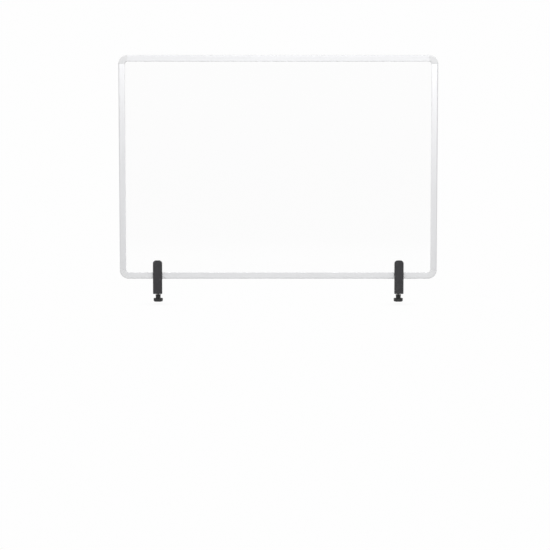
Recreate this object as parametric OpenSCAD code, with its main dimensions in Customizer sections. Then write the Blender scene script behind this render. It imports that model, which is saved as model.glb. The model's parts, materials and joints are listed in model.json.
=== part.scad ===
// Clear desk screen in an aluminium frame, held on a desk edge by two screw clamps.
// +X runs along the screen, -Y is the visitor's side, +Z is up. The origin is at mid-width, in the
// plane of the clear sheet, at the height of the desk top. The clamps slide along the bottom rail.

/* [Frame] */
// Overall width of the frame
frame_w = 1070; // [700:10:1600]
// Overall height of the frame
frame_h = 750; // [400:10:1000]
// Width of the rails, seen from the front
rail_w = 21; // [20:1:26]
// Depth of the rails, front to back
rail_d = 16; // [14:1:20]
// Wall thickness of the rails
rail_wall = 1.6; // [1.2:0.2:2]
// Radius of the rails' outer edges
rail_edge_r = 4; // [2:0.5:5]
// Outer radius of the corner pieces
corner_r = 30; // [28:1:45]
// Gap between the desk top and the bottom rail
frame_lift = 4; // [4:1:8]

/* [Clear sheet] */
// Thickness of the sheet
sheet_t = 3; // [2:0.5:4]
// Depth to which the sheet enters the rails
sheet_bite = 8; // [6:0.5:9]

/* [Clamps] */
// Distance of each clamp from the middle of the frame
clamp_x = 407; // [120:1:450]
// Width of the front bar
bar_w = 31; // [28:0.5:36]
// Thickness of the front bar
bar_t = 7.5; // [6:0.5:10]
// Height of the front bar over the desk top
bar_top = 66.5; // [50:0.5:90]
// Depth of the front bar under the desk top
bar_bottom = 47; // [45:1:70]
// Radius of the front bar's upper corners
bar_top_r = 10.5; // [6:0.5:14]
// Width of the jaws and of the rear cheek
jaw_w = 26; // [24:1:28]
// Thickness of the lower jaw
jaw_t = 10; // [8:1:12]
// Height of the rear cheek over the desk top
cheek_top = 34; // [30:1:45]

/* [Clamp screw] */
// Distance of the screw's axis behind the plane of the sheet
screw_y = 11; // [10:0.5:14]
// Thickness of the desk top at rest
desk_t = 19; // [17:1:24]
// Diameter of the screw
spindle_dia = 8; // [6:1:8]
// Diameter of the pressure foot
foot_dia = 24; // [20:1:26]
// Diameter of the knob
knob_dia = 32; // [28:1:36]
// Number of lobes on the knob
knob_lobes = 5; // [3:1:7]
// Gap between the lower jaw and the knob's hub
hub_gap = 3.5; // [3:0.5:8]

/* [Hidden] */
$fn = 72;

ALUMINIUM = [0.86, 0.86, 0.88];
CAP_GREY = [0.78, 0.78, 0.79];
CLAMP_BLACK = [0.13, 0.13, 0.135];
KNOB_BLACK = [0.10, 0.10, 0.10];
RUBBER = [0.07, 0.07, 0.07];
VINYL = [0.80, 0.81, 0.82];
ZINC = [0.62, 0.62, 0.60];
BRASS = [0.72, 0.58, 0.30];
CLEAR = [0.88, 0.94, 0.96, 0.25];

// Clearances
fit_gap = 0.05;      // running fit of a screw in its thread, and of a shaft in its hole
tenon_gap = 0.1;     // around a tenon in its chamber
slot_gap = 0.1;      // each side of the sheet in a corner piece
edge_gap = 0.3;      // between the sheet's rounded corner and its groove
over = 1;            // how far a cutting shape runs past what it cuts, and a joined one into its neighbour

// Rails
rail_len_x = frame_w - 2 * corner_r;
rail_len_z = frame_h - 2 * corner_r;
rail_inner_r = 1;                                // edge radius on the glass side
gasket_t = 1;                                    // rubber at the sheet's faces and edge
gasket_lip = 0.4;                                // how far it stands out of its groove
groove_w = sheet_t + 2 * gasket_t;
groove_depth = sheet_bite + gasket_t;
groove_floor = rail_w - groove_depth;            // from the outer edge
chamber_end = groove_floor - rail_wall;
chamber_chamfer = 1.2;
pocket_in = groove_w / 2 + rail_wall;            // hollow beside the groove
pocket_out = rail_d / 2 - rail_wall;
tenon_len = 25;
sheet_w = frame_w - 2 * (rail_w - sheet_bite);
sheet_h = frame_h - 2 * (rail_w - sheet_bite);
sheet_corner_r = corner_r - (rail_w - sheet_bite);
frame_mid_z = frame_lift + frame_h / 2;

// Screws through the rails' back walls into the tenons
corner_screw_at = 12;                            // from the rail's end
corner_screw_row = (rail_wall + chamber_end) / 2;
corner_screw_r = 1.45;
corner_screw_head_r = 2.75;
corner_screw_head_h = 1.3;
corner_screw_len = 9;
corner_recess_r = 1.5;
corner_recess_d = 1.1;
corner_hole_gap = 0.1;                           // around each screw
corner_hole_spare = 0.3;                         // past its tip

// Clamp, measured from its own middle in x
pad_t = 1;
pad_margin = 1;                                  // from a pad's edge to the edge of what carries it
bar_back = -rail_d / 2 - pad_t;                  // the desk's edge stops here
bar_front = bar_back - bar_t;
bar_bottom_r = 2.5;
floor_low = pad_t;                               // upper jaw, under the rail
plate_t = 2;
plate_travel = 2;
plate_margin = 2;
plate_rest_gap = 0.2;                            // left between plate and cheek when fully open
plate_back = rail_d / 2 + pad_t + plate_t;
cheek_front = plate_back + plate_travel + plate_rest_gap;
cheek_t = 6;
cheek_back = cheek_front + cheek_t;
cheek_r = 8;
cheek_foot_r = 0.5;
jaw_low = -bar_bottom;
jaw_high = jaw_low + jaw_t;
gusset = 5;
gusset_w = 20;
front_pad_h = rail_w - 2 * pad_margin;
grip_z = frame_lift + rail_w / 2;
grip_r = 3;
grip_len = 12;
grip_tip_r = 2;
grip_tip_len = 1;
grip_socket_r = 1.75;
grip_socket_depth = 4;

// Clamp screw, foot and knob
spindle_r = spindle_dia / 2;
insert_r = 6;
foot_pad_t = 1.5;
foot_top = -desk_t - foot_pad_t;
foot_disc_t = 4;
foot_boss_r = 7;
foot_boss_t = 4;
foot_low = foot_top - foot_disc_t - foot_boss_t;
foot_recess_r = 6;
foot_recess_d = 2.4;
neck_r = 2.5;
neck_under_pad = 0.3;
neck_top = foot_top - neck_under_pad;
clip_groove_r = 2;
clip_t = 0.8;
clip_float = 0.25;                               // between the clip and the foot
clip_low = foot_top - foot_recess_d + clip_float;
clip_r = 4.6;
clip_mouth = 3;
hub_top = jaw_low - hub_gap;
hub_h = 11.9;
hub_top_r = 9.2;
hub_low_r = 8.2;
knob_high = hub_top - hub_h;
knob_h = 12;
knob_low = knob_high - knob_h;
knob_edge = 2;
knob_flute_r = 7;
knob_flute_depth = 2.6;
knob_floor = 5;
spindle_low = knob_low + knob_floor;

// ---- outlines ----

// Rectangle from [0, 0] to [w, h], with one radius on each pair of corners
module rounded_plate(w, h, low_r, high_r) {
    low = min(low_r, w / 2);
    high = min(high_r, w / 2);
    translate([0, low]) square([w, h - low - high]);
    translate([low, 0]) square([w - 2 * low, low + over]);
    translate([high, h - high - over]) square([w - 2 * high, high + over]);
    for (x = [low, w - low]) translate([x, low]) circle(r = low);
    for (x = [high, w - high]) translate([x, h - high]) circle(r = high);
}

// Outside of a rail: x is the depth and y runs from the outer edge to the glass side
module rail_outside() {
    translate([-rail_d / 2, 0]) rounded_plate(rail_d, rail_w, rail_edge_r, rail_inner_r);
}

// Chamber that holds a corner piece's tenon, or with a gap the tenon itself
module chamber(gap) {
    x = rail_d / 2 - rail_wall - gap;
    low = rail_wall + gap;
    high = chamber_end - gap;
    c = chamber_chamfer;
    polygon([[-x, high], [-x, low + c], [-x + c, low], [x - c, low], [x, low + c], [x, high]]);
}

module rail_section() {
    difference() {
        rail_outside();
        chamber(0);
        translate([-groove_w / 2, groove_floor]) square([groove_w, groove_depth + over]);
        for (side = [-1, 1])
            translate([side * (pocket_in + pocket_out) / 2 - (pocket_out - pocket_in) / 2, groove_floor])
                square([pocket_out - pocket_in, groove_depth - rail_wall]);
    }
}

module corner_section() {
    slot_w = sheet_t + 2 * slot_gap;
    difference() {
        rail_outside();
        translate([-slot_w / 2, rail_w - sheet_bite - edge_gap])
            square([slot_w, sheet_bite + edge_gap + over]);
    }
}

module gasket_section() {
    difference() {
        translate([-groove_w / 2, groove_floor]) square([groove_w, groove_depth + gasket_lip]);
        translate([-sheet_t / 2, groove_floor + gasket_t]) square([sheet_t, groove_depth + over]);
    }
}

// ---- frame ----

// Puts a shape drawn as a bottom member along +Z, centred, onto each side of the frame
module along_bottom() translate([0, 0, frame_lift]) rotate([90, 0, 90]) children();
module along_top() translate([0, 0, frame_lift + frame_h]) rotate([-90, 0, 90]) children();
module along_left() translate([-frame_w / 2, 0, frame_mid_z]) rotate([0, 0, -90]) children();
module along_right() translate([frame_w / 2, 0, frame_mid_z]) rotate([0, 0, 90]) children();

// Screw hole or screw at each end of a member, from the back face; back is the side that faces +Y
module at_member_screws(len, back) {
    for (end = [-1, 1])
        translate([back * rail_d / 2, corner_screw_row, end * (len / 2 - corner_screw_at)])
            rotate([0, -90 * back, 0]) children();
}

module screw_space() {
    gap = corner_hole_gap;
    translate([0, 0, -over])
        cylinder(r = corner_screw_r + gap, h = corner_screw_len + over + corner_hole_spare);
    cylinder(r1 = corner_screw_head_r + gap, r2 = corner_screw_r + gap, h = corner_screw_head_h);
}

module corner_screw() {
    difference() {
        union() {
            cylinder(r1 = corner_screw_head_r, r2 = corner_screw_r, h = corner_screw_head_h);
            cylinder(r = corner_screw_r, h = corner_screw_len);
        }
        translate([0, 0, -over]) cylinder(r = corner_recess_r, h = corner_recess_d + over, $fn = 6);
    }
}

module rail(len, back) {
    color(ALUMINIUM) difference() {
        linear_extrude(len, center = true) rail_section();
        at_member_screws(len, back) screw_space();
    }
}

module gasket(len) color(VINYL) linear_extrude(len, center = true) gasket_section();

// Quarter ring about the origin with a tenon at each end, drawn for the bottom left
module corner_piece() {
    color(CAP_GREY) difference() {
        union() {
            rotate([0, 180, 0]) rotate([90, 0, 0]) rotate_extrude(angle = 90)
                translate([corner_r, 0]) rotate(90) corner_section();
            translate([0, 0, -corner_r]) rotate([90, 0, 90]) linear_extrude(tenon_len) chamber(tenon_gap);
            translate([-corner_r, 0, 0]) rotate([0, 0, -90]) linear_extrude(tenon_len) chamber(tenon_gap);
        }
        translate([corner_screw_at, rail_d / 2, corner_screw_row - corner_r])
            rotate([90, 0, 0]) screw_space();
        translate([corner_screw_row - corner_r, rail_d / 2, corner_screw_at])
            rotate([90, 0, 0]) screw_space();
    }
}

module flip_x(flip) if (flip) mirror([1, 0, 0]) children(); else children();
module flip_z(flip) if (flip) mirror([0, 0, 1]) children(); else children();

// side is -1 at the left and 1 at the right, level is -1 at the bottom and 1 at the top
module at_corner(side, level)
    translate([side * rail_len_x / 2, 0, frame_mid_z + level * rail_len_z / 2])
        flip_x(side > 0) flip_z(level > 0) children();

module sheet() {
    color(CLEAR) translate([-sheet_w / 2, sheet_t / 2, frame_mid_z - sheet_h / 2]) rotate([90, 0, 0])
        linear_extrude(sheet_t) rounded_plate(sheet_w, sheet_h, sheet_corner_r, sheet_corner_r);
}

module corner_screws() {
    color(ZINC) {
        along_bottom() at_member_screws(rail_len_x, 1) corner_screw();
        along_top() at_member_screws(rail_len_x, 1) corner_screw();
        along_left() at_member_screws(rail_len_z, -1) corner_screw();
        along_right() at_member_screws(rail_len_z, 1) corner_screw();
    }
}

// ---- clamps, each drawn with its screw in the plane x = 0 ----

module upright(x0, y0, thickness) translate([x0, y0 + thickness, 0]) rotate([90, 0, 0])
    linear_extrude(thickness) children();

module front_bar() translate([0, 0, -bar_bottom])
    upright(-bar_w / 2, bar_front, bar_t)
        rounded_plate(bar_w, bar_top + bar_bottom, bar_bottom_r, bar_top_r);

module rear_cheek() translate([0, 0, floor_low])
    upright(-jaw_w / 2, cheek_front, cheek_t)
        rounded_plate(jaw_w, cheek_top - floor_low, cheek_foot_r, cheek_r);

module upper_jaw() translate([-jaw_w / 2, bar_back - over, floor_low])
    cube([jaw_w, cheek_back - bar_back + over, frame_lift - floor_low]);

module lower_jaw() translate([0, 0, jaw_low]) linear_extrude(jaw_t) {
    translate([-jaw_w / 2, bar_back - over]) square([jaw_w, screw_y - bar_back + over]);
    translate([0, screw_y]) circle(d = jaw_w);
}

module jaw_gusset() translate([-gusset_w / 2, bar_back, jaw_high]) rotate([90, 0, 90])
    linear_extrude(gusset_w)
        polygon([[-over, -over], [gusset, -over], [gusset, 0], [0, gusset], [-over, gusset]]);

module clamp_body() {
    color(CLAMP_BLACK) difference() {
        union() {
            front_bar();
            upper_jaw();
            rear_cheek();
            lower_jaw();
            jaw_gusset();
        }
        translate([0, screw_y, jaw_low - over]) cylinder(r = insert_r + fit_gap, h = jaw_t + 2 * over);
        translate([0, cheek_back + over, grip_z]) rotate([90, 0, 0])
            cylinder(r = grip_r + fit_gap, h = cheek_t + 2 * over);
    }
}

module desk_pad() color(RUBBER) translate([-jaw_w / 2 + pad_margin, bar_back + pad_margin, 0])
    cube([jaw_w - 2 * pad_margin, cheek_back - bar_back - 2 * pad_margin, pad_t]);

module front_pad() color(RUBBER) translate([-jaw_w / 2 + pad_margin, bar_back, frame_lift + pad_margin])
    cube([jaw_w - 2 * pad_margin, pad_t, front_pad_h]);

module threaded_insert() color(BRASS) translate([0, screw_y, jaw_low]) difference() {
    cylinder(r = insert_r, h = jaw_t);
    translate([0, 0, -over]) cylinder(r = spindle_r + fit_gap, h = jaw_t + 2 * over);
}

// Outline of the plate and its pad behind the rail, from front to back
module grip_block(front, thickness)
    translate([-jaw_w / 2 + plate_margin, front, frame_lift + plate_margin])
        cube([jaw_w - 2 * plate_margin, thickness, rail_w - 2 * plate_margin]);

module grip_pad() color(RUBBER) grip_block(rail_d / 2, pad_t);

// The rear screw presses this plate
module grip_plate() color(ZINC) difference() {
    grip_block(plate_back - plate_t, plate_t);
    translate([0, plate_back + over, grip_z]) rotate([90, 0, 0])
        cylinder(r = grip_tip_r + fit_gap, h = grip_tip_len + fit_gap + over);
}

module grip_screw() color(ZINC) translate([0, plate_back, grip_z]) rotate([-90, 0, 0]) difference() {
    union() {
        translate([0, 0, -grip_tip_len]) cylinder(r = grip_tip_r, h = grip_tip_len + over);
        translate([0, 0, fit_gap]) cylinder(r = grip_r, h = grip_len);
    }
    translate([0, 0, grip_len - grip_socket_depth])
        cylinder(r = grip_socket_r, h = grip_socket_depth + over, $fn = 6);
}

// The screw, with a neck that holds the foot and a groove for the foot's clip
module spindle() color(ZINC) translate([0, screw_y, 0]) difference() {
    union() {
        translate([0, 0, spindle_low]) cylinder(r = spindle_r, h = foot_low - fit_gap - spindle_low);
        translate([0, 0, foot_low - over]) cylinder(r = neck_r, h = neck_top - foot_low + over);
    }
    translate([0, 0, clip_low - fit_gap]) difference() {
        cylinder(r = neck_r + over, h = clip_t + 2 * fit_gap);
        translate([0, 0, -over]) cylinder(r = clip_groove_r, h = clip_t + 2 * over);
    }
}

module foot() color(ZINC) translate([0, screw_y, 0]) difference() {
    union() {
        translate([0, 0, foot_top - foot_disc_t]) cylinder(d = foot_dia, h = foot_disc_t);
        translate([0, 0, foot_low]) cylinder(r = foot_boss_r, h = foot_boss_t + over);
    }
    translate([0, 0, foot_low - over]) cylinder(r = neck_r + fit_gap, h = foot_top - foot_low + 2 * over);
    translate([0, 0, foot_top - foot_recess_d]) cylinder(r = foot_recess_r, h = foot_recess_d + over);
}

module foot_pad() color(RUBBER) translate([0, screw_y, foot_top])
    cylinder(d = foot_dia - 1, h = foot_pad_t);

module foot_clip() color(ZINC) translate([0, screw_y, clip_low]) linear_extrude(clip_t) difference() {
    circle(r = clip_r);
    circle(r = clip_groove_r + fit_gap);
    translate([-clip_mouth / 2, 0]) square([clip_mouth, clip_r + over]);
}

module knob() color(KNOB_BLACK) translate([0, screw_y, 0]) difference() {
    union() {
        translate([0, 0, knob_high - over]) cylinder(r = hub_low_r, h = 2 * over);
        translate([0, 0, knob_high]) cylinder(r1 = hub_low_r, r2 = hub_top_r, h = hub_h);
        difference() {
            translate([0, 0, knob_low]) rotate_extrude() polygon([
                [0, 0], [knob_dia / 2 - knob_edge, 0], [knob_dia / 2, knob_edge],
                [knob_dia / 2, knob_h - knob_edge], [knob_dia / 2 - knob_edge, knob_h], [0, knob_h]
            ]);
            for (i = [1 : knob_lobes]) rotate(360 * i / knob_lobes)
                translate([0, -knob_dia / 2 - knob_flute_r + knob_flute_depth, knob_low - over])
                    cylinder(r = knob_flute_r, h = knob_h + 2 * over);
        }
    }
    translate([0, 0, spindle_low]) cylinder(r = spindle_r + fit_gap, h = hub_top - spindle_low + over);
}

module at_clamp(side) translate([side * clamp_x, 0, 0]) children();

sheet();  // acrylic_sheet
along_top() rail(rail_len_x, 1);  // top_rail
along_bottom() rail(rail_len_x, 1);  // bottom_rail
along_left() rail(rail_len_z, -1);  // left_rail
along_right() rail(rail_len_z, 1);  // right_rail
at_corner(-1, 1) corner_piece();  // top_left_corner
at_corner(1, 1) corner_piece();  // top_right_corner
at_corner(-1, -1) corner_piece();  // bottom_left_corner
at_corner(1, -1) corner_piece();  // bottom_right_corner
along_top() gasket(rail_len_x);  // top_gasket
along_bottom() gasket(rail_len_x);  // bottom_gasket
along_left() gasket(rail_len_z);  // left_gasket
along_right() gasket(rail_len_z);  // right_gasket
corner_screws();
at_clamp(-1) clamp_body();  // left_clamp_body
at_clamp(-1) desk_pad();  // left_desk_pad
at_clamp(-1) front_pad();  // left_front_pad
at_clamp(-1) threaded_insert();  // left_threaded_insert
at_clamp(-1) grip_plate();  // left_grip_plate
at_clamp(-1) grip_pad();  // left_grip_pad
at_clamp(-1) grip_screw();  // left_grip_screw
at_clamp(-1) spindle();  // left_spindle
at_clamp(-1) knob();  // left_knob
at_clamp(-1) foot();  // left_foot
at_clamp(-1) foot_pad();  // left_foot_pad
at_clamp(-1) foot_clip();  // left_foot_clip
at_clamp(1) clamp_body();  // right_clamp_body
at_clamp(1) desk_pad();  // right_desk_pad
at_clamp(1) front_pad();  // right_front_pad
at_clamp(1) threaded_insert();  // right_threaded_insert
at_clamp(1) grip_plate();  // right_grip_plate
at_clamp(1) grip_pad();  // right_grip_pad
at_clamp(1) grip_screw();  // right_grip_screw
at_clamp(1) spindle();  // right_spindle
at_clamp(1) knob();  // right_knob
at_clamp(1) foot();  // right_foot
at_clamp(1) foot_pad();  // right_foot_pad
at_clamp(1) foot_clip();  // right_foot_clip
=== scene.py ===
import json
import math

import bmesh
import bpy
from mathutils import Matrix, Vector
from mathutils.geometry import tessellate_polygon


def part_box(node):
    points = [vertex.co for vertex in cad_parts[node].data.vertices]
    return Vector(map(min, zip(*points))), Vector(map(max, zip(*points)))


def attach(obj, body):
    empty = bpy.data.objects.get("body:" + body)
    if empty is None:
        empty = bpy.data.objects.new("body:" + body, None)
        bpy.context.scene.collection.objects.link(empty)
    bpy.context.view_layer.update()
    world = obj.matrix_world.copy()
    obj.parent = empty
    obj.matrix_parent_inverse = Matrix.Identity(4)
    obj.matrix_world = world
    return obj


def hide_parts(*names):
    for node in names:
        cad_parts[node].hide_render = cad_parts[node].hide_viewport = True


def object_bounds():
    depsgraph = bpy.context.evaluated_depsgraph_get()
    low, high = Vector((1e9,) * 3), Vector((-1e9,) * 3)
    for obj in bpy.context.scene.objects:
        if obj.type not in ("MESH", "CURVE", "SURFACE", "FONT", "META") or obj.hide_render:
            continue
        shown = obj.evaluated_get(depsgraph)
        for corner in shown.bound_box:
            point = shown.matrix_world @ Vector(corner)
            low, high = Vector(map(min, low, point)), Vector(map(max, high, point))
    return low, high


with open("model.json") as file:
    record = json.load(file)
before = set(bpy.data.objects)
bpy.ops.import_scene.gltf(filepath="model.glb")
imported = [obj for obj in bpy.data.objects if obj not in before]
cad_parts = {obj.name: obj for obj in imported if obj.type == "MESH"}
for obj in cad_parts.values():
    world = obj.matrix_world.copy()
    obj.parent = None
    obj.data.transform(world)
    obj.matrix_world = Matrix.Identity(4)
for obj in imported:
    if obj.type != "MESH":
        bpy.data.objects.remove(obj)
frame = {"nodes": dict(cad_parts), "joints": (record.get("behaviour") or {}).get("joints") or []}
cad_low, cad_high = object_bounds()

# Meshes are drawn in millimetres, in the frame's axes, and scaled to metres when they are finished.
MM = 0.001
X, Z = 0, 2                      # axes


# ---------------------------------------------------------------- materials

class Look:
    """One procedural material: a Principled shader and the nodes that feed it."""

    def __init__(self, name, colour, roughness, metallic=0.0, specular=0.5):
        self.material = bpy.data.materials.new(name)
        self.material.use_nodes = True
        self.tree = self.material.node_tree
        self.shader = self.tree.nodes["Principled BSDF"]
        self.colour = colour
        self.roughness = roughness
        self.set("Base Color", (*colour, 1.0))
        self.set("Roughness", roughness)
        self.set("Metallic", metallic)
        self.set("Specular IOR Level", specular)
        self.place = self.tree.nodes.new("ShaderNodeTexCoord").outputs["Object"]
        self.normal = None

    def set(self, socket, value):
        self.shader.inputs[socket].default_value = value

    def link(self, source, target):
        self.tree.links.new(source, target)

    def noise(self, per_metre, detail=3.0, roughness=0.55):
        """Noise with its own scale along each axis, in features per metre, around 0.5."""
        mapping = self.tree.nodes.new("ShaderNodeMapping")
        mapping.inputs["Scale"].default_value = per_metre
        self.link(self.place, mapping.inputs["Vector"])
        texture = self.tree.nodes.new("ShaderNodeTexNoise")
        texture.inputs["Scale"].default_value = 1.0
        texture.inputs["Detail"].default_value = detail
        texture.inputs["Roughness"].default_value = roughness
        self.link(mapping.outputs["Vector"], texture.inputs["Vector"])
        return texture.outputs["Fac"]

    def remap(self, value, low, high, from_low=0.3, from_high=0.7):
        node = self.tree.nodes.new("ShaderNodeMapRange")
        node.inputs["From Min"].default_value = from_low
        node.inputs["From Max"].default_value = from_high
        node.inputs["To Min"].default_value = low
        node.inputs["To Max"].default_value = high
        self.link(value, node.inputs["Value"])
        return node.outputs["Result"]

    def vary_colour(self, value, other, amount=1.0, start=0.3, end=0.7):
        """Blends the colour so far towards another one as the value goes from start to end."""
        node = self.tree.nodes.new("ShaderNodeMix")
        node.data_type = "RGBA"
        first, second = (s for s in node.inputs if s.enabled and s.type == "RGBA")
        base = self.shader.inputs["Base Color"]
        if base.links:
            self.link(base.links[0].from_socket, first)
        else:
            first.default_value = (*self.colour, 1.0)
        second.default_value = (*other, 1.0)
        self.link(self.remap(value, 0.0, amount, start, end), node.inputs["Factor"])
        self.link(next(s for s in node.outputs if s.enabled), base)

    def vary_roughness(self, value, spread):
        low, high = self.roughness - spread, self.roughness + spread
        self.link(self.remap(value, low, high), self.shader.inputs["Roughness"])

    def bump(self, height, strength, distance):
        node = self.tree.nodes.new("ShaderNodeBump")
        node.inputs["Strength"].default_value = strength
        node.inputs["Distance"].default_value = distance
        self.link(height, node.inputs["Height"])
        if self.normal is not None:
            self.link(self.normal, node.inputs["Normal"])
        self.normal = node.outputs["Normal"]
        self.link(self.normal, self.shader.inputs["Normal"])

    def worn_edges(self, colour, amount):
        """Lightens outer edges, as handling does. It needs a dense mesh."""
        sharp = self.tree.nodes.new("ShaderNodeNewGeometry").outputs["Pointiness"]
        self.vary_colour(sharp, colour, amount, start=0.53, end=0.62)


def even(per_metre):
    return (per_metre,) * 3


def along(axis, fine, coarse):
    """Noise scale for marks that run along one axis: fine across it and coarse along it."""
    return tuple(coarse if i == axis else fine for i in range(3))


def scaled(colour, factor):
    return tuple(factor * channel for channel in colour)


def aluminium(name, colour, roughness, axis):
    """Satin anodised extrusion: die lines along it, an even fine grain, faint cloudiness."""
    look = Look(name, colour, roughness, metallic=1.0)
    die_lines = look.noise(along(axis, fine=1900.0, coarse=0.8), detail=3.0)
    clouds = look.noise(along(axis, fine=45.0, coarse=7.0), detail=2.0)
    grain = look.noise(even(5200.0), detail=2.0)
    look.vary_colour(clouds, scaled(colour, 0.98))
    look.vary_roughness(die_lines, spread=0.05)
    look.bump(die_lines, strength=0.10, distance=0.00002)
    look.bump(grain, strength=0.20, distance=0.00001)
    return look.material


def corner_plastic():
    look = Look("corner_plastic", (0.70, 0.702, 0.708), roughness=0.52)
    look.vary_colour(look.noise(even(60.0)), (0.675, 0.677, 0.683))
    grain = look.noise(even(3600.0), detail=2.0)
    look.vary_roughness(grain, spread=0.06)
    look.bump(grain, strength=0.30, distance=0.00003)
    return look.material


def moulded_black(name, colour, worn, roughness, grain_per_metre):
    """Spark-textured black moulding, with paler scuffs on its edges."""
    look = Look(name, colour, roughness, specular=0.45)
    look.vary_colour(look.noise(even(90.0)), scaled(colour, 0.8))
    look.worn_edges(worn, amount=0.8)
    grain = look.noise(even(grain_per_metre), detail=3.0, roughness=0.6)
    look.vary_roughness(grain, spread=0.08)
    look.bump(grain, strength=0.8, distance=0.00010)
    return look.material


def rubber(name, colour):
    look = Look(name, colour, roughness=0.8, specular=0.3)
    look.vary_colour(look.noise(even(200.0)), scaled(colour, 1.5))
    fine = look.noise(even(2600.0))
    look.vary_roughness(fine, spread=0.07)
    look.bump(fine, strength=0.4, distance=0.00005)
    return look.material


def metal(name, colour, roughness, axis):
    """Plated or turned metal with fine marks along one axis."""
    look = Look(name, colour, roughness, metallic=1.0)
    marks = look.noise(along(axis, fine=3200.0, coarse=120.0))
    look.vary_colour(look.noise(even(150.0)), scaled(colour, 0.8))
    look.vary_roughness(marks, spread=0.08)
    look.bump(marks, strength=0.3, distance=0.00002)
    return look.material


def gasket_vinyl():
    look = Look("gasket_vinyl", (0.88, 0.885, 0.89), roughness=0.45)
    look.vary_colour(look.noise(even(80.0)), (0.84, 0.846, 0.852))
    look.bump(look.noise(even(1500.0)), strength=0.3, distance=0.00003)
    return look.material


def clear_acrylic():
    """Clear sheet. Lamps pass through it, so it doesn't darken what is behind it."""
    look = Look("clear_acrylic", (1.0, 1.0, 1.0), roughness=0.02)
    look.set("Transmission Weight", 1.0)
    look.set("IOR", 1.49)
    smears = look.noise((9.0, 9.0, 6.0), detail=4.0)
    smeared = look.remap(smears, 0.0, 0.02, from_low=0.45, from_high=0.75)
    look.link(smeared, look.shader.inputs["Roughness"])
    nodes = look.tree.nodes
    clear = nodes.new("ShaderNodeBsdfTransparent")
    clear.inputs["Color"].default_value = (0.97, 0.98, 0.98, 1.0)
    mixer = nodes.new("ShaderNodeMixShader")
    look.link(nodes.new("ShaderNodeLightPath").outputs["Is Shadow Ray"], mixer.inputs[0])
    look.link(look.shader.outputs["BSDF"], mixer.inputs[1])
    look.link(clear.outputs["BSDF"], mixer.inputs[2])
    look.link(mixer.outputs["Shader"], nodes["Material Output"].inputs["Surface"])
    return look.material


LOOKS = {
    # painted shade: the top and bottom rails get a darker copy of the posts' anodising, which
    # offsets the softbox's stronger light on them; rails and posts are one finish
    "rail_x_painted_shade": aluminium("anodised_along_x_painted_shade", (0.805, 0.807, 0.816), roughness=0.70, axis=X),
    "rail_z": aluminium("anodised_along_z", (0.90, 0.902, 0.915), roughness=0.37, axis=Z),
    "corner": corner_plastic(),
    "clamp": moulded_black(
        "clamp_plastic", (0.0285, 0.0273, 0.0306), worn=(0.060, 0.060, 0.062),
        roughness=0.58, grain_per_metre=1700.0,
    ),
    "knob": moulded_black(
        "knob_plastic", (0.017, 0.017, 0.0175), worn=(0.045, 0.045, 0.046),
        roughness=0.50, grain_per_metre=2300.0,
    ),
    "rubber": rubber("black_rubber", (0.018, 0.018, 0.018)),
    "vinyl": gasket_vinyl(),
    "zinc": metal("zinc_plated_steel", (0.62, 0.62, 0.60), roughness=0.30, axis=X),
    "spindle": metal("zinc_plated_screw", (0.60, 0.60, 0.585), roughness=0.28, axis=Z),
    "black_steel": metal("black_oxide_steel", (0.075, 0.075, 0.08), roughness=0.38, axis=Z),
    "brass": metal("brass", (0.76, 0.58, 0.28), roughness=0.30, axis=Z),
    "acrylic": clear_acrylic(),
}


# ---------------------------------------------------------------- outlines, in millimetres

ARC_CHORD = 0.5                  # longest chord of a rounded corner
ARC_STEP = math.radians(15.0)    # largest turn from one chord to the next


def outline(*corners):
    """A closed outline, anticlockwise, from corners (u, v, radius). Each radius becomes an arc."""
    points = []
    befores, afters = corners[-1:] + corners[:-1], corners[1:] + corners[:1]
    for before, (u, v, radius), after in zip(befores, corners, afters):
        here = Vector((u, v))
        if not radius:
            points.append(here)
            continue
        back = (Vector(before[:2]) - here).normalized()
        ahead = (Vector(after[:2]) - here).normalized()
        half = back.angle(ahead) / 2
        centre = here + (back + ahead).normalized() * radius / math.sin(half)
        start = here + back * radius / math.tan(half) - centre
        end = here + ahead * radius / math.tan(half) - centre
        first = math.atan2(start.y, start.x)
        turn = (math.atan2(end.y, end.x) - first + math.pi) % math.tau - math.pi
        steps = math.ceil(max(abs(turn) * radius / ARC_CHORD, abs(turn) / ARC_STEP))
        for i in range(steps + 1):
            a = first + turn * i / steps
            points.append(centre + radius * Vector((math.cos(a), math.sin(a))))
    return points


def rectangle(u0, v0, u1, v1, low_radius=0.0, high_radius=None):
    """A rectangle with one radius on its two lower corners and one on its two upper ones."""
    high = low_radius if high_radius is None else high_radius
    return outline((u0, v0, low_radius), (u1, v0, low_radius), (u1, v1, high), (u0, v1, high))


def inset(points, distance):
    """An anticlockwise outline drawn in by a distance."""
    moved = []
    for before, here, after in zip(points[-1:] + points[:-1], points, points[1:] + points[:1]):
        entry, leave = (here - before).normalized(), (after - here).normalized()
        normal = Vector((-entry.y, entry.x))
        mitre = (normal + Vector((-leave.y, leave.x))).normalized()
        moved.append(here + mitre * distance / mitre.dot(normal))
    return moved


def rounded_ends(length, start, end, steps=6):
    """Stations (distance, inset) of a loft whose two rims are rounded with these radii."""
    angles = [math.pi / 2 * i / steps for i in range(steps + 1)]
    first = [(start * (1 - math.cos(a)), start * (1 - math.sin(a))) for a in angles]
    last = [(length - end * (1 - math.cos(a)), end * (1 - math.sin(a))) for a in angles]
    return first + last[::-1]


# ---------------------------------------------------------------- solids, in millimetres

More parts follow.
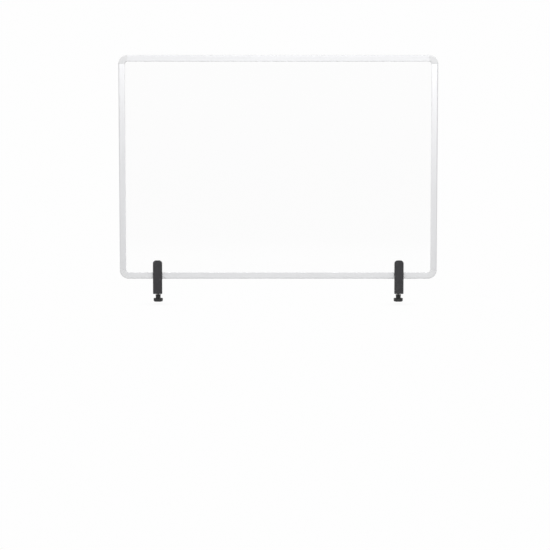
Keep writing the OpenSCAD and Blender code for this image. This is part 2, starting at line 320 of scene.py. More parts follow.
def loft(bm, section, place, stations, holes=()):
    """A solid along stations (distance, inset); place(u, v, w) puts an outline point at distance w.
    Holes are outlines of passages that run through it."""
    loops = [section, *holes]
    rings = []
    for distance, drawn_in in stations:
        shapes = [inset(section, drawn_in) if drawn_in else section, *holes]
        rings.append([[bm.verts.new(place(p.x, p.y, distance)) for p in shape] for shape in shapes])
    for low, high in zip(rings, rings[1:]):
        for low_loop, high_loop in zip(low, high):
            for i, start in enumerate(low_loop):
                j = (i + 1) % len(low_loop)
                bm.faces.new((start, low_loop[j], high_loop[j], high_loop[i]))
    for ring in (rings[0], rings[-1]):
        if not holes:
            bm.faces.new(ring[0])
            continue
        corners = [vert for loop in ring for vert in loop]
        for triangle in tessellate_polygon([[p.to_3d() for p in loop] for loop in loops]):
            bm.faces.new([corners[i] for i in triangle])


def turned(bm, profile, place, segments=72, radius_at=None):
    """A turned solid from (radius, height) points. Ends of radius 0 close it. A profile without
    them joins its end to its start and leaves a bore. radius_at(angle, radius, height) may
    shape it."""
    rings = []
    for radius, height in profile:
        if not radius:
            rings.append([bm.verts.new(place(0.0, 0.0, height))])
            continue
        ring = []
        for i in range(segments):
            a = math.tau * i / segments
            r = radius_at(a, radius, height) if radius_at else radius
            ring.append(bm.verts.new(place(r * math.cos(a), r * math.sin(a), height)))
        rings.append(ring)
    if profile[0][0]:
        rings.append(rings[0])
    for low, high in zip(rings, rings[1:]):
        for i in range(segments):
            j = (i + 1) % segments
            below = (low[i % len(low)], low[j % len(low)])
            above = (high[j % len(high)], high[i % len(high)])
            bm.faces.new(dict.fromkeys(below + above))


def soften(points, radius, steps=3):
    """A turned profile with each corner between its ends rounded."""
    longest = 0.45               # of a stretch, so that the corners at its ends stay apart
    out = [points[0]]
    for before, corner, after in zip(points, points[1:], points[2:]):
        p, q, r = Vector(before), Vector(corner), Vector(after)
        reach = min(radius, longest * (p - q).length, longest * (r - q).length)
        start, end = q + (p - q).normalized() * reach, q + (r - q).normalized() * reach
        for i in range(steps + 1):
            t = i / steps
            out.append(tuple((1 - t) ** 2 * start + 2 * t * (1 - t) * q + t * t * end))
    return [*out, points[-1]]


def dense(points, longest):
    """A profile with its long stretches divided."""
    out = [points[0]]
    for start, end in zip(points, points[1:]):
        count = math.ceil((Vector(end) - Vector(start)).length / longest)
        out += [tuple(Vector(start).lerp(Vector(end), i / count)) for i in range(1, count + 1)]
    return out


def raw_mesh(bm, name):
    """The bmesh as a mesh, still in millimetres, with its faces turned outwards."""
    bmesh.ops.recalc_face_normals(bm, faces=bm.faces)
    mesh = bpy.data.meshes.new(name)
    bm.to_mesh(mesh)
    bm.free()
    return mesh


def with_modifiers(mesh, *modifiers):
    """The mesh after modifiers, each given as (type, settings)."""
    holder = bpy.data.objects.new("holder", mesh)
    bpy.context.scene.collection.objects.link(holder)
    for kind, settings in modifiers:
        modifier = holder.modifiers.new(kind.lower(), kind)
        for key, value in settings.items():
            setattr(modifier, key, value)
    depsgraph = bpy.context.evaluated_depsgraph_get()
    result = bpy.data.meshes.new_from_object(holder.evaluated_get(depsgraph))
    bpy.data.objects.remove(holder)
    return result


def combined(mesh, operation, *others):
    """The mesh after a boolean operation with each of the others."""
    for other in others:
        tool = bpy.data.objects.new("tool", other)
        bpy.context.scene.collection.objects.link(tool)
        settings = {"operation": operation, "solver": "EXACT", "object": tool}
        mesh = with_modifiers(mesh, ("BOOLEAN", settings))
        bpy.data.objects.remove(tool)
    return mesh


def finished(mesh, crease=35.0, flat_faces=True):
    """Scales a mesh to metres and smooths its edges below an angle in degrees. With flat_faces the
    normals of large faces win, so that a flat face beside a rounded edge is shaded flat."""
    bm = bmesh.new()
    bm.from_mesh(mesh)
    bmesh.ops.remove_doubles(bm, verts=bm.verts, dist=1e-4)
    bmesh.ops.dissolve_degenerate(bm, edges=bm.edges, dist=1e-4)
    bmesh.ops.recalc_face_normals(bm, faces=bm.faces)
    bmesh.ops.scale(bm, verts=bm.verts, vec=(MM, MM, MM))
    limit = math.radians(crease)
    for face in bm.faces:
        face.smooth = True
    for edge in bm.edges:
        edge.smooth = edge.calc_face_angle(0.0) < limit
    bm.to_mesh(mesh)
    bm.free()
    if flat_faces:
        mesh = with_modifiers(mesh, ("WEIGHTED_NORMAL", {"keep_sharp": True}))
    return mesh


def piece(name, mesh, look, body, slot, *stands_for):
    """Makes a mesh a piece of the object, with its look, body and the nodes it replaces. The slot
    is not used.
    """
    shown = bpy.data.objects.new(name, mesh)
    mesh.name = name
    bpy.context.scene.collection.objects.link(shown)
    mesh.materials.clear()
    mesh.materials.append(LOOKS[look])
    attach(shown, body)
    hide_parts(*stands_for)
    return shown


def box_mm(node):
    low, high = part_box(node)
    return low / MM, high / MM


# ---------------------------------------------------------------- frame

FRAME_LOW, FRAME_HIGH = box_mm("bottom_rail")[0], box_mm("top_rail")[1]
FRAME_LEFT, FRAME_RIGHT = box_mm("left_rail")[0].x, box_mm("right_rail")[1].x
RAIL_D = 2 * FRAME_HIGH.y
RAIL_W = box_mm("bottom_rail")[1].z - FRAME_LOW.z
CORNER_R = FRAME_RIGHT - FRAME_HIGH.x
MID_Z = (FRAME_LOW.z + FRAME_HIGH.z) / 2
RAIL_WALL = 1.6
EDGE_R = 4.0                     # outer edges of the rails and corner pieces
GLASS_RIM_R = 0.4                # their edges beside the sheet
LIP_R = 0.35                     # mouth of a groove
GROOVE_W = 5.0
GROOVE_FLOOR = 12.0              # from the rail's outer edge
CHAMBER_END = GROOVE_FLOOR - RAIL_WALL
CHAMBER_CHAMFER = 1.2
SHEET_T = 3.0
SHEET_SLOT_W = 3.2               # in a corner piece
SHEET_SLOT_FLOOR = 12.7
TENON_GAP = 0.1
TENON_LEN = 25.0
SEAM = 0.35                      # chamfer where a corner piece meets a rail

SCREW_AT = 12.0                  # from the rail's end
SCREW_ROW = (RAIL_WALL + CHAMBER_END) / 2
SCREW_R = 1.45
SCREW_ROOT_R = 1.12
SCREW_PITCH = 0.9
SCREW_HEAD_R = 2.75
SCREW_HEAD_H = 1.3
SCREW_LEN = 9.0
HEX_R = 1.5
HEX_DEPTH = 1.1

# place(u, v, w) of each member: u is the depth, v runs from the outer edge to the glass, w along it
MEMBERS = {
    "bottom": lambda u, v, w: (w, u, FRAME_LOW.z + v),
    "top": lambda u, v, w: (w, u, FRAME_HIGH.z - v),
    "left": lambda u, v, w: (FRAME_LEFT + v, u, MID_Z + w),
    "right": lambda u, v, w: (FRAME_RIGHT - v, u, MID_Z + w),
}


def member_length(member):
    low, high = box_mm(f"{member}_rail")
    return max(high - low)


def grooved_section(half_slot, floor):
    """Outline of a rail or corner piece, with a slot for the sheet down to a floor."""
    d, w = RAIL_D / 2, RAIL_W
    return outline(
        (-d, 0.0, EDGE_R), (d, 0.0, EDGE_R),
        (d, w, GLASS_RIM_R), (half_slot, w, LIP_R), (half_slot, floor, 0.0),
        (-half_slot, floor, 0.0), (-half_slot, w, LIP_R), (-d, w, GLASS_RIM_R),
    )


def chamber(gap):
    """The passage at a rail's outer side, or with a gap the tenon that fills it."""
    x, c = RAIL_D / 2 - RAIL_WALL - gap, CHAMBER_CHAMFER
    low, high = RAIL_WALL + gap, CHAMBER_END - gap
    return outline(
        (-x, low + c, 0.0), (-x + c, low, 0.0), (x - c, low, 0.0), (x, low + c, 0.0),
        (x, high, 0.0), (-x, high, 0.0),
    )


def rail_holes():
    """The chamber, and the two pockets beside the groove."""
    near, far = GROOVE_W / 2 + RAIL_WALL, RAIL_D / 2 - RAIL_WALL
    low, high = GROOVE_FLOOR, RAIL_W - RAIL_WALL
    return [chamber(0.0), rectangle(-far, low, -near, high), rectangle(near, low, far, high)]


def screw_places(member):
    """For each of a member's two screws, place(x, y, z) with z going in from the back face."""
    place, half = MEMBERS[member], member_length(member) / 2
    return [lambda x, y, z, w=w: place(RAIL_D / 2 - z, SCREW_ROW + y, w + x)
            for w in (SCREW_AT - half, half - SCREW_AT)]


def screw_space(places):
    """Countersunk holes for the corner screws, as a cutting shape."""
    slack, ahead, spare = 0.1, 1.0, 0.3
    head, shank, end = SCREW_HEAD_R + slack, SCREW_R + slack, SCREW_LEN + spare
    profile = [
        (0.0, -ahead), (head, -ahead), (head, 0.0), (shank, SCREW_HEAD_H), (shank, end), (0.0, end),
    ]
    bm = bmesh.new()
    for place in places:
        turned(bm, profile, place, segments=48)
    return raw_mesh(bm, "screw_space")


def rail_mesh(member):
    half = member_length(member) / 2
    section = grooved_section(GROOVE_W / 2, GROOVE_FLOOR)
    bm = bmesh.new()
    loft(bm, section, MEMBERS[member], [(-half, 0.0), (half, 0.0)], rail_holes())
    mesh = raw_mesh(bm, f"{member}_rail")
    return finished(combined(mesh, "DIFFERENCE", screw_space(screw_places(member))))


def gasket_mesh(member):
    """Channel that holds the sheet, with rounded lips that stand out of the rail's groove."""
    half = member_length(member) / 2
    lip, web, outer_r, lip_r, inner_r = 0.25, 1.0, 0.5, 0.3, 0.2
    w, s = GROOVE_W / 2, SHEET_T / 2
    low, floor, top = GROOVE_FLOOR, GROOVE_FLOOR + web, RAIL_W + lip
    section = outline(
        (-w, low, outer_r), (w, low, outer_r), (w, top, outer_r), (s, top, lip_r),
        (s, floor, inner_r), (-s, floor, inner_r), (-s, top, lip_r), (-w, top, outer_r),
    )
    bm = bmesh.new()
    loft(bm, section, MEMBERS[member], [(-half, 0.0), (half, 0.0)])
    return finished(raw_mesh(bm, f"{member}_gasket"))


def corner_mesh(side, level):
    """Quarter ring with a tenon at each end. side is -1 at the left, level is -1 at the bottom."""
    x0 = side * FRAME_HIGH.x
    z0 = MID_Z + level * ((FRAME_HIGH.z - FRAME_LOW.z) / 2 - CORNER_R)

    def around(u, v, degrees):
        a = math.radians(degrees)
        r = CORNER_R - v
        return (x0 + side * r * math.cos(a), u, z0 + level * r * math.sin(a))

    def flat_tenon(u, v, w):
        return (x0 - side * w, u, z0 + level * (CORNER_R - v))

    def upright_tenon(u, v, w):
        return (x0 + side * (CORNER_R - v), u, z0 - level * w)

    seam = math.degrees(SEAM / CORNER_R)
    steps = 36
    curve = [(seam + (90.0 - 2 * seam) * i / steps, 0.0) for i in range(steps + 1)]
    bm = bmesh.new()
    section = grooved_section(SHEET_SLOT_W / 2, SHEET_SLOT_FLOOR)
    loft(bm, section, around, [(0.0, SEAM), *curve, (90.0, SEAM)])
    ring = raw_mesh(bm, "ring")
    root, tip = 2.0, 0.6
    along_tenon = [(-root, 0.0), (TENON_LEN - tip, 0.0), (TENON_LEN, tip)]
    tenons = []
    for place in (flat_tenon, upright_tenon):
        bm = bmesh.new()
        loft(bm, chamber(TENON_GAP), place, along_tenon)
        tenons.append(raw_mesh(bm, "tenon"))
    screws = [lambda x, y, z, place=place: place(RAIL_D / 2 - z, SCREW_ROW + y, SCREW_AT + x)
              for place in (flat_tenon, upright_tenon)]
    mesh = combined(ring, "UNION", *tenons)
    return finished(combined(mesh, "DIFFERENCE", screw_space(screws)))


def thread(major, root, pitch):
    """radius_at for a right-handed thread about +Z, with flat crests and roots."""
    steepness, root_share = 1.5, 0.2

    def radius_at(angle, radius, height):
        wave = abs(2 * ((height / pitch - angle / math.tau) % 1.0) - 1)
        flank = min(max(steepness * wave - root_share, 0.0), 1.0)
        return min(radius, root + (major - root) * flank)
    return radius_at


def threaded_stretch(radius, low, high, pitch):
    """Profile points close enough together to carry a thread."""
    points_per_turn = 10
    count = round((high - low) * points_per_turn / pitch)
    return [(radius, low + (high - low) * i / count) for i in range(count + 1)]


def hex_socket(place, radius, depth):
    """A hexagonal hole with a chamfered mouth, as a cutting shape."""
    ahead, chamfer = 1.0, 0.2
    cone_depth, cone_inset = 0.3 * radius, 0.7 * radius
    angles = [math.tau * i / 6 for i in range(6)]
    hexagon = [Vector((radius * math.cos(a), radius * math.sin(a))) for a in angles]
    bm = bmesh.new()
    loft(bm, hexagon, place, [(-ahead, 0.0), (depth, 0.0), (depth + cone_depth, cone_inset)])
    socket = raw_mesh(bm, "hexagon")
    mouth = [
        (0.0, -ahead), (radius + ahead, -ahead), (radius + chamfer, 0.0),
        (radius - chamfer, 2 * chamfer), (0.0, 2 * chamfer),
    ]
    bm = bmesh.new()
    turned(bm, mouth, place, segments=36)
    return [socket, raw_mesh(bm, "mouth")]


def thread_below_head(angle, radius, height):
    """The corner screws' thread, which stops under the countersunk head. It comes out right-handed
    in the top and left rails, and left-handed in the other two."""
    if height <= SCREW_HEAD_H:
        return radius
    return thread(SCREW_R, SCREW_ROOT_R, SCREW_PITCH)(-angle, radius, height)


def corner_screw_mesh(place):
    """Countersunk self-tapping screw; z goes in from its head."""
    sunk, rim_r, rim_end, bevel_r, bevel_h = 0.05, SCREW_HEAD_R - 0.05, 0.3, 0.2, 0.07
    thread_start, thread_end = SCREW_HEAD_H + 0.3, SCREW_LEN - 1.2
    point_r, point_start = 0.9 * SCREW_ROOT_R, SCREW_LEN - 0.3
    profile = [
        (0.0, sunk), (rim_r - bevel_r, sunk), (rim_r, sunk + bevel_h), (rim_r, rim_end),
        (SCREW_R, SCREW_HEAD_H), *threaded_stretch(SCREW_R, thread_start, thread_end, SCREW_PITCH),
        (point_r, point_start), (0.0, SCREW_LEN),
    ]
    bm = bmesh.new()
    turned(bm, profile, place, segments=40, radius_at=thread_below_head)
    screw = raw_mesh(bm, "corner_screw")
    return combined(screw, "DIFFERENCE", *hex_socket(place, HEX_R, HEX_DEPTH))


def joined(meshes, name):
    bm = bmesh.new()
    for mesh in meshes:
        bm.from_mesh(mesh)
    return raw_mesh(bm, name)


for member in MEMBERS:
    # the top and bottom rails take the darker copy of the anodising, which is painted shade
    look = "rail_x_painted_shade" if member in ("bottom", "top") else "rail_z"
    rail, gasket = f"{member}_rail", f"{member}_gasket"
    piece(f"{rail}_extrusion", rail_mesh(member), look, "frame", "aluminium_rail", rail)
    piece(f"{gasket}_strip", gasket_mesh(member), "vinyl", "frame", "gasket_vinyl", gasket)

for side_name, side in (("left", -1), ("right", 1)):
    for level_name, level in (("bottom", -1), ("top", 1)):
        node = f"{level_name}_{side_name}_corner"
        mesh = corner_mesh(side, level)
        piece(f"{node}_moulding", mesh, "corner", "frame", "corner_plastic", node)

screws = [corner_screw_mesh(place) for member in MEMBERS for place in screw_places(member)]
mesh = finished(joined(screws, "screws"))
piece("corner_screw_set", mesh, "zinc", "frame", "zinc_steel", "corner_screws")

frame["nodes"]["acrylic_sheet"].data.materials.clear()
frame["nodes"]["acrylic_sheet"].data.materials.append(LOOKS["acrylic"])


# ---------------------------------------------------------------- clamps

# x is measured from the clamp's own middle. One clamp is built, and its meshes serve both sides.
BODY_LOW, BODY_HIGH = box_mm("left_clamp_body")
CLAMP_MID = (BODY_LOW.x + BODY_HIGH.x) / 2
BAR_HALF = (BODY_HIGH.x - BODY_LOW.x) / 2
BAR_BACK = box_mm("left_front_pad")[0].y
BAR_TOP_R = 10.5
BAR_BOTTOM_R = 2.5
BAR_FRONT_R = 2.5                # the soft rim of the bar's front face
SCREW_Y = (box_mm("left_spindle")[0].y + box_mm("left_spindle")[1].y) / 2
JAW_HALF = BODY_HIGH.y - SCREW_Y
JAW_TOP = box_mm("left_threaded_insert")[1].z
DESK_PAD_TOP = box_mm("left_desk_pad")[1].z
CHEEK_T = 6.0
CHEEK_BACK = box_mm("left_desk_pad")[1].y + 1.0      # the pad stops short of it
CHEEK_TOP = 34.0
CHEEK_TOP_R = 8.0
CHEEK_RIM = 2.2                  # the soft rim of its back face
SOFT_R = 1.0                     # most other edges of the clamp's moulding
JAW_RIM = 1.5                    # and those of its lower jaw
GUSSET = 5.0
GUSSET_HALF = 10.0
GRIP_Z = FRAME_LOW.z + RAIL_W / 2
INSERT_R = 6.0
GRIP_R = 3.0
VOXEL = 0.5                      # size of the clamp body's mesh cells
OVER = 1.0                       # how far a drill passes the faces it goes through


def solid(place, section, stations):
    bm = bmesh.new()
    loft(bm, section, place, stations)
    return raw_mesh(bm, "solid")


def drilled(mesh, place, radius, low, high):
    bm = bmesh.new()
    turned(bm, [(0.0, low), (radius, low), (radius, high), (0.0, high)], place)
    return combined(mesh, "DIFFERENCE", raw_mesh(bm, "drill"))


def about_screw(x, y, z):
    """Turned about the clamp screw's axis, z up."""
    return (x, SCREW_Y + y, z)


def about_grip(x, y, z):
    """Turned about the rear screw's axis, z back."""
    return (-x, z, GRIP_Z + y)


def clamp_body_mesh():
    """One moulding: a front bar, an upper jaw under the rail, a rear cheek and a lower jaw."""
    shrink = 0.2                 # the smoothing draws the bores in by about this
    root = BAR_BACK - 1.0        # the jaws and the gusset start inside the bar
    front, low, cheek_front = BODY_LOW.y, BODY_LOW.z, CHEEK_BACK - CHEEK_T
    bar = solid(
        lambda u, v, w: (u, front + w, v),
        rectangle(-BAR_HALF, low, BAR_HALF, BODY_HIGH.z, BAR_BOTTOM_R, BAR_TOP_R),
        rounded_ends(BAR_BACK - front, BAR_FRONT_R, SOFT_R),
    )
    upper_jaw = solid(
        lambda u, v, w: (u, v, DESK_PAD_TOP + w),
        rectangle(-JAW_HALF, root, JAW_HALF, CHEEK_BACK, 0.0, CHEEK_RIM),
        rounded_ends(FRAME_LOW.z - DESK_PAD_TOP, 0.6 * SOFT_R, 0.6 * SOFT_R, steps=2),
    )
    cheek = solid(
        lambda u, v, w: (u, cheek_front + w, v),
        rectangle(-JAW_HALF, DESK_PAD_TOP, JAW_HALF, CHEEK_TOP, SOFT_R, CHEEK_TOP_R),
        rounded_ends(CHEEK_T, 0.8 * SOFT_R, CHEEK_RIM),
    )
    lower_jaw = solid(
        lambda u, v, w: (u, v, low + w),
        rectangle(-JAW_HALF, root, JAW_HALF, BODY_HIGH.y, 0.0, JAW_HALF),
        rounded_ends(JAW_TOP - low, JAW_RIM, JAW_RIM),
    )
    web_low, web_top, web_back = JAW_TOP - 1.0, JAW_TOP + GUSSET, BAR_BACK + GUSSET
    web = (
        (root, web_low), (web_back, web_low), (web_back, JAW_TOP),
        (BAR_BACK, web_top), (root, web_top),
    )
    gusset = solid(
        lambda u, v, w: (w - GUSSET_HALF, u, v),
        [Vector(corner) for corner in web],
        [(0.0, 0.0), (2 * GUSSET_HALF, 0.0)],
    )
    lower_jaw = drilled(lower_jaw, about_screw, INSERT_R + shrink, low - OVER, JAW_TOP + OVER)
    cheek = drilled(cheek, about_grip, GRIP_R + shrink, cheek_front - OVER, CHEEK_BACK + OVER)
    return with_modifiers(
        joined([bar, upper_jaw, cheek, lower_jaw, gusset], "clamp_body"),
        ("REMESH", {"mode": "VOXEL", "voxel_size": VOXEL, "use_smooth_shade": True}),
        ("SMOOTH", {"factor": 0.5, "iterations": 5}),
    )


def ribbed_pad(node, length, thickness, ribs, place):
    """Rubber pad with rounded grooves across one face and soft edges; place(u, v, w) takes u along
    the pad, v into it from the ribbed face and w across it."""
    low, high = box_mm(node)
    half = (high.x - low.x) / 2
    groove, edge, pitch = 0.25, 0.15, length / ribs
    # (share of the pitch, share of the depth) across one groove
    groove_shape = ((0.12, 0.0), (0.28, 0.7), (0.5, 1.0), (0.72, 0.7), (0.88, 0.0))
    section = [Vector((edge, 0.0))]
    for i in range(ribs):
        for along_pitch, depth in groove_shape:
            section.append(Vector(((i + along_pitch) * pitch, groove * depth)))
    section += map(Vector, (
        (length - edge, 0.0), (length, edge), (length, thickness - edge),
        (length - edge, thickness), (edge, thickness), (0.0, thickness - edge), (0.0, edge),
    ))
    stations = [(-half, edge), (edge - half, 0.0), (half - edge, 0.0), (half, edge)]
    return solid(place, section, stations)


def desk_pad_mesh():
    low, high = box_mm("left_desk_pad")
    return ribbed_pad("left_desk_pad", high.y - low.y, high.z - low.z, ribs=11,
                      place=lambda u, v, w: (w, low.y + u, low.z + v))


def front_pad_mesh():
    low, high = box_mm("left_front_pad")
    return ribbed_pad("left_front_pad", high.z - low.z, high.y - low.y, ribs=8,
                      place=lambda u, v, w: (w, high.y - v, low.z + u))


def grip_pad_mesh():
    low, high = box_mm("left_grip_pad")
    return ribbed_pad("left_grip_pad", high.z - low.z, high.y - low.y, ribs=7,
                      place=lambda u, v, w: (w, low.y + v, low.z + u))


def grip_plate_mesh():
    low, high = box_mm("left_grip_plate")
    half = (high.x - low.x) / 2
    corner_r, front_rim, back_rim = 1.5, 0.2, 0.4
    dimple_r, dimple_depth = 2.05, 1.05
    mesh = solid(
        lambda u, v, w: (u, low.y + w, v), rectangle(-half, low.z, half, high.z, corner_r),
        rounded_ends(high.y - low.y, front_rim, back_rim, steps=3),
    )
    return drilled(mesh, about_grip, dimple_r, high.y - dimple_depth, high.y + OVER)


def insert_mesh():
    """Knurled brass bush, chamfered at both ends of its bore."""
    low, high = box_mm("left_threaded_insert")[0].z, JAW_TOP
    bore, mouth, chamfer = 4.05, 4.5, 0.5
    teeth, tooth_depth, band_chamfer = 36, 0.12, 0.35
    mid, waist_r, waist_half, waist_slope = (low + high) / 2, 5.5, 0.6, 0.2

    def knurl(angle, radius, height):
        in_a_valley = radius == INSERT_R and math.cos(teeth * angle) > 0
        return radius - tooth_depth if in_a_valley else radius

    def band(start, end):
        c = band_chamfer
        rim_r = INSERT_R - c
        return [(rim_r, start), (INSERT_R, start + c), (INSERT_R, end - c), (rim_r, end)]

    profile = [
        (mouth, low), *band(low, mid - waist_half - waist_slope),
        (waist_r, mid - waist_half), (waist_r, mid + waist_half),
        *band(mid + waist_half + waist_slope, high), (mouth, high),
        (bore, high - chamfer), (bore, low + chamfer),
    ]
    bm = bmesh.new()
    turned(bm, profile, about_screw, segments=144, radius_at=knurl)
    return raw_mesh(bm, "insert")


def grip_screw_mesh():
    """Set screw with a dog point and a hexagon socket."""
    low, high = (corner.y for corner in box_mm("left_grip_screw"))
    root, pitch, taper = 2.4, 1.0, 0.6
    point_len, point_r, point_chamfer = 1.1, 2.0, 0.2
    socket_r, socket_depth = 1.75, 3.4
    shank = low + point_len
    thread_start, thread_end = shank + taper + 0.1, high - taper
    profile = [
        (0.0, low), (point_r - point_chamfer, low), (point_r, low + point_chamfer),
        (point_r, shank), (root, shank), (GRIP_R, shank + taper),
        *threaded_stretch(GRIP_R, thread_start, thread_end, pitch), (root, high), (0.0, high),
    ]
    bm = bmesh.new()
    turned(bm, profile, about_grip, segments=48, radius_at=thread(GRIP_R, root, pitch))
    screw = raw_mesh(bm, "grip_screw")
    socket = hex_socket(lambda x, y, z: about_grip(x, y, high - z), socket_r, socket_depth)
    return combined(screw, "DIFFERENCE", *socket)


def spindle_mesh():
    """Clamp screw: its thread, and a neck with a groove for the foot's clip."""
    low, high = box_mm("left_spindle")
    major, root, pitch, taper = 4.0, 3.32, 1.25, 0.7
    neck, neck_chamfer, groove, play = 2.5, 0.3, 2.0, 0.05
    shoulder = box_mm("left_foot")[0].z - play
    clip_low, clip_high = (corner.z for corner in box_mm("left_foot_clip"))
    groove_low, groove_high = clip_low - play, clip_high + play
    thread_start, thread_end = low.z + taper + 0.1, shoulder - taper - 0.1
    profile = [
        (0.0, low.z), (root, low.z), (major, low.z + taper),
        *threaded_stretch(major, thread_start, thread_end, pitch),
        (major, shoulder - taper), (root, shoulder), (neck, shoulder),
        (neck, groove_low), (groove, groove_low), (groove, groove_high), (neck, groove_high),
        (neck, high.z - neck_chamfer), (neck - neck_chamfer, high.z), (0.0, high.z),
    ]
    bm = bmesh.new()
    turned(bm, profile, about_screw, segments=48, radius_at=thread(major, root, pitch))
    return raw_mesh(bm, "spindle")


def knob_mesh():
    """Five-lobed handwheel with a tapered hub; blind bore from above for the screw."""
    low, high = box_mm("left_knob")
    bore_floor = box_mm("left_spindle")[0].z
    head_r, head_h, shoulder = (high.x - low.x) / 2, 12.0, 1.6
    head_top = low.z + head_h
    base_r, belly_r, belly_z = head_r - 1.5, head_r - 0.2, low.z + 3.5
    hub_low_r, hub_top_r, collar_h, collar_slope = 8.2, 9.2, 2.5, 1.5
    waist = (hub_low_r + 0.1, head_top + 0.3)
    neck = (hub_low_r + 0.3, high.z - collar_h - collar_slope)
    bore, bore_chamfer = 4.05, 0.3
    dish_r, dish_depth, dish_slope = 7.5, 0.7, 0.8
    lobes, flute, flute_start, flute_fade = 5, 2.6, 0.4, 4.0
    longest_stretch = 0.5

    def lobed(angle, radius, height):
        share = min(max((radius - hub_low_r - flute_start) / flute_fade, 0.0), 1.0)
        fade = share * share * (3 - 2 * share)
        return radius - flute * fade * (0.5 + 0.5 * math.cos(lobes * (angle + math.pi / 2))) ** 2

    outer = soften([
        (0.0, low.z + dish_depth), (dish_r, low.z + dish_depth), (dish_r + dish_slope, low.z),
        (base_r, low.z), (belly_r, belly_z), (head_r, head_top - shoulder),
        (head_r - shoulder, head_top - 0.1), waist, neck,
        (hub_top_r, high.z - collar_h), (hub_top_r, high.z), (bore + bore_chamfer, high.z),
    ], shoulder, steps=5)
    profile = [
        *dense(outer, longest_stretch),
        (bore, high.z - bore_chamfer), (bore, bore_floor), (0.0, bore_floor),
    ]
    bm = bmesh.new()
    turned(bm, profile, about_screw, segments=160, radius_at=lobed)
    return raw_mesh(bm, "knob")


def foot_mesh():
    """Turned pressure foot with a recess for the clip."""
    low, high = box_mm("left_foot")
    disc_r, disc_low = (high.x - low.x) / 2, high.z - 4.0
    recess_r, recess_floor = 6.0, high.z - 2.4
    boss_r, bore, bore_chamfer, edge_r = 7.0, 2.55, 0.3, 0.6
    outer = soften([
        (bore + bore_chamfer, low.z), (boss_r, low.z), (boss_r, disc_low), (disc_r, disc_low),
        (disc_r, high.z), (recess_r, high.z), (recess_r, recess_floor), (bore, recess_floor),
    ], edge_r)
    bm = bmesh.new()
    turned(bm, [*outer, (bore, low.z + bore_chamfer)], about_screw, segments=96)
    return raw_mesh(bm, "foot")


def foot_pad_mesh():
    """Rubber disc with concentric ridges, which presses the desk from below."""
    low, high = box_mm("left_foot_pad")
    radius = (high.x - low.x) / 2
    rim, edge, base_edge = 1.1, 0.4, 0.1
    pitch, slope, floor_z = 1.3, 0.3, high.z - 0.35      # of the grooves between the ridges
    profile = [
        (0.0, low.z), (radius - base_edge, low.z), (radius, low.z + 3 * base_edge),
        (radius, high.z - edge), (radius - edge, high.z),
    ]
    r = radius - rim
    while r > 2 * pitch:
        across = enumerate((high.z, floor_z, floor_z, high.z))
        profile += [(r - step * slope, z) for step, z in across]
        r -= pitch
    profile.append((0.0, high.z))
    bm = bmesh.new()
    turned(bm, profile, about_screw, segments=96)
    return raw_mesh(bm, "foot_pad")


def foot_clip_mesh():
    """Open spring ring in the screw's groove."""
    low, high = box_mm("left_foot_clip")
    outer, inner, mouth_half, rim, steps = SCREW_Y - low.y, 2.05, 1.5, 0.12, 48
    points = []
    for radius, way in ((outer, 1), (inner, -1)):
        gap = math.asin(mouth_half / radius)
        first, last = math.pi / 2 + gap, math.pi / 2 + math.tau - gap
        angles = [first + (last - first) * i / steps for i in range(steps + 1)][::way]
        points += [Vector((radius * math.cos(a), radius * math.sin(a))) for a in angles]
    return solid(
        lambda u, v, w: (u, SCREW_Y + v, low.z + w), points,
        rounded_ends(high.z - low.z, rim, rim, steps=2),
    )


# Each row: node, mesh, look, body, slot, whether its flat faces are shaded flat
CLAMP_PIECES = (
    ("clamp_body", clamp_body_mesh(), "clamp", "clamp", "clamp_plastic", False),
    ("desk_pad", desk_pad_mesh(), "rubber", "clamp", "black_rubber", True),
    ("front_pad", front_pad_mesh(), "rubber", "clamp", "black_rubber", True),
    ("threaded_insert", insert_mesh(), "brass", "clamp", "brass_insert", True),
    ("grip_plate", grip_plate_mesh(), "zinc", "grip", "zinc_steel", True),
    ("grip_pad", grip_pad_mesh(), "rubber", "grip", "black_rubber", True),
    ("grip_screw", grip_screw_mesh(), "black_steel", "grip_screw_body", "black_steel", True),
    ("spindle", spindle_mesh(), "spindle", "clamp_screw", "zinc_steel", True),
    ("knob", knob_mesh(), "knob", "clamp_screw", "knob_plastic", False),
    ("foot", foot_mesh(), "zinc", "foot_carrier", "zinc_steel", True),
    ("foot_pad", foot_pad_mesh(), "rubber", "foot_carrier", "black_rubber", True),
    ("foot_clip", foot_clip_mesh(), "zinc", "clamp_screw", "zinc_steel", True),
)

for node, mesh, look, body, slot, flat_faces in CLAMP_PIECES:
    for side, way in (("left", 1), ("right", -1)):
        shape = finished(mesh.copy(), flat_faces=flat_faces)
        shape.transform(Matrix.Translation((way * CLAMP_MID * MM, 0.0, 0.0)))
        piece(f"{side}_{node}_piece", shape, look, f"{side}_{body}", slot, f"{side}_{node}")


# ---------------------------------------------------------------- camera, floor and light

WHITE = 0.99                     # what the background shows
BOUNCE_AHEAD = 0.56              # what the floor in front of the object gives back to it
BOUNCE_BEHIND = 1.00             # and the floor under and behind it
BOUNCE_FROM, BOUNCE_TO = -0.12, 0.05     # where along Y the one turns into the other, in metres
CAST_LOW, CAST_HIGH = 0.30, 0.88         # light from the world's horizon, and from high up
CAST_FROM, CAST_TO = -0.12, 0.18         # heights where the one turns into the other
FOOT_TRAVEL = next(j["range_m"] for j in frame["joints"] if j["name"] == "left_foot_lift")


def make_camera():
    """A long lens at the height of the sheet's middle, tilted down a little."""
    lens, place, tilt = 103.35, (-0.011, -5.322, 0.409), 4.22
    data = bpy.data.cameras.new("camera")
    data.sensor_width = 36.0
    data.lens = lens
    camera = bpy.data.objects.new("camera", data)
    camera.location = place
    camera.rotation_euler = (math.radians(90.0 - tilt), 0.0, 0.0)
    bpy.context.scene.collection.objects.link(camera)
    bpy.context.scene.camera = camera


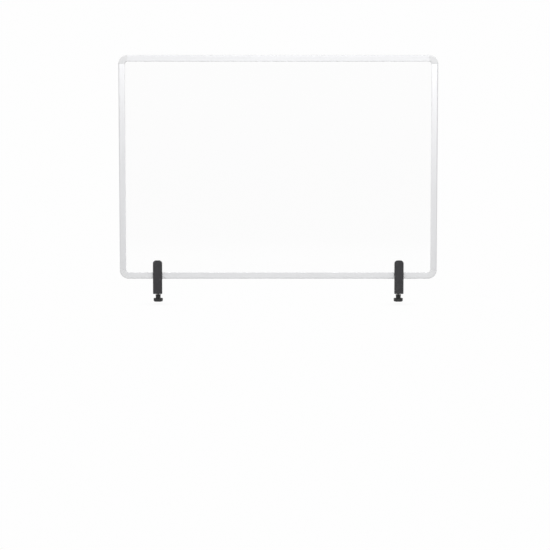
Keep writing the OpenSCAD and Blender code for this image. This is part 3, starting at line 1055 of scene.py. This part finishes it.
def seen_directly(nodes, links):
    """1 where a ray comes from the camera, or from it through the clear sheet."""
    path = nodes.new("ShaderNodeLightPath")
    either = nodes.new("ShaderNodeMath")
    either.operation = "MAXIMUM"
    links.new(path.outputs["Is Camera Ray"], either.inputs[0])
    links.new(path.outputs["Is Transmission Ray"], either.inputs[1])
    return either.outputs[0]


def make_floor():
    """Plain white floor that the knobs just clear when let down, with a faint soft shadow."""
    half = 60.0                  # of the floor's side
    gap = 0.001                  # under the knobs
    reach, depth = 0.07, 0.12    # of the shadow
    z = cad_low.z + min(FOOT_TRAVEL) - gap
    corners = ((-half, -half), (half, -half), (half, half), (-half, half))
    bm = bmesh.new()
    bm.faces.new([bm.verts.new((x, y, z)) for x, y in corners])
    mesh = bpy.data.meshes.new("floor")
    bm.to_mesh(mesh)
    bm.free()
    material = bpy.data.materials.new("floor")
    material.use_nodes = True
    nodes, links = material.node_tree.nodes, material.node_tree.links
    nodes.remove(nodes["Principled BSDF"])
    shadow = nodes.new("ShaderNodeAmbientOcclusion")
    shadow.inputs["Distance"].default_value = reach
    level = nodes.new("ShaderNodeMapRange")
    level.inputs["To Min"].default_value = WHITE * (1.0 - depth)
    level.inputs["To Max"].default_value = WHITE
    links.new(shadow.outputs["AO"], level.inputs["Value"])
    shown = nodes.new("ShaderNodeEmission")
    links.new(level.outputs["Result"], shown.inputs["Strength"])
    split = nodes.new("ShaderNodeSeparateXYZ")
    links.new(nodes.new("ShaderNodeTexCoord").outputs["Object"], split.inputs[0])
    bounce = nodes.new("ShaderNodeMapRange")
    bounce.inputs["From Min"].default_value = BOUNCE_FROM
    bounce.inputs["From Max"].default_value = BOUNCE_TO
    bounce.inputs["To Min"].default_value = BOUNCE_AHEAD
    bounce.inputs["To Max"].default_value = BOUNCE_BEHIND
    links.new(split.outputs["Y"], bounce.inputs["Value"])
    cast = nodes.new("ShaderNodeBsdfDiffuse")
    links.new(bounce.outputs["Result"], cast.inputs["Color"])
    mixer = nodes.new("ShaderNodeMixShader")
    links.new(seen_directly(nodes, links), mixer.inputs[0])
    links.new(cast.outputs["BSDF"], mixer.inputs[1])
    links.new(shown.outputs["Emission"], mixer.inputs[2])
    links.new(mixer.outputs["Shader"], nodes["Material Output"].inputs["Surface"])
    mesh.materials.append(material)
    floor = bpy.data.objects.new("floor", mesh)
    bpy.context.scene.collection.objects.link(floor)


def make_world():
    """Plain white where it is seen. What it casts on the object is weaker from low down."""
    world = bpy.data.worlds.new("studio")
    bpy.context.scene.world = world
    world.use_nodes = True
    nodes, links = world.node_tree.nodes, world.node_tree.links
    split = nodes.new("ShaderNodeSeparateXYZ")
    links.new(nodes.new("ShaderNodeTexCoord").outputs["Generated"], split.inputs[0])
    cast = nodes.new("ShaderNodeMapRange")
    cast.inputs["From Min"].default_value = CAST_FROM
    cast.inputs["From Max"].default_value = CAST_TO
    cast.inputs["To Min"].default_value = CAST_LOW
    cast.inputs["To Max"].default_value = CAST_HIGH
    links.new(split.outputs["Z"], cast.inputs["Value"])
    choose = nodes.new("ShaderNodeMix")
    links.new(seen_directly(nodes, links), choose.inputs["Factor"])
    links.new(cast.outputs["Result"], choose.inputs["A"])
    choose.inputs["B"].default_value = WHITE
    links.new(choose.outputs["Result"], nodes["Background"].inputs["Strength"])
    nodes["Background"].inputs["Color"].default_value = (1.0, 1.0, 1.0, 1.0)


def area_light(name, place, target, width, height, watts):
    data = bpy.data.lights.new(name, "AREA")
    data.shape = "RECTANGLE"
    data.size, data.size_y = width, height
    data.energy = watts
    light = bpy.data.objects.new(name, data)
    light.location = place
    aim = Vector(target) - Vector(place)
    light.rotation_euler = aim.to_track_quat("-Z", "Y").to_euler()
    light.visible_camera = False
    bpy.context.scene.collection.objects.link(light)


make_camera()
make_floor()
make_world()
area_light("softbox", (0.3, -3.0, 2.3), (0.0, 0.0, 0.5), width=3.0, height=1.4, watts=60.0)

bpy.context.scene.view_settings.view_transform = "Standard"
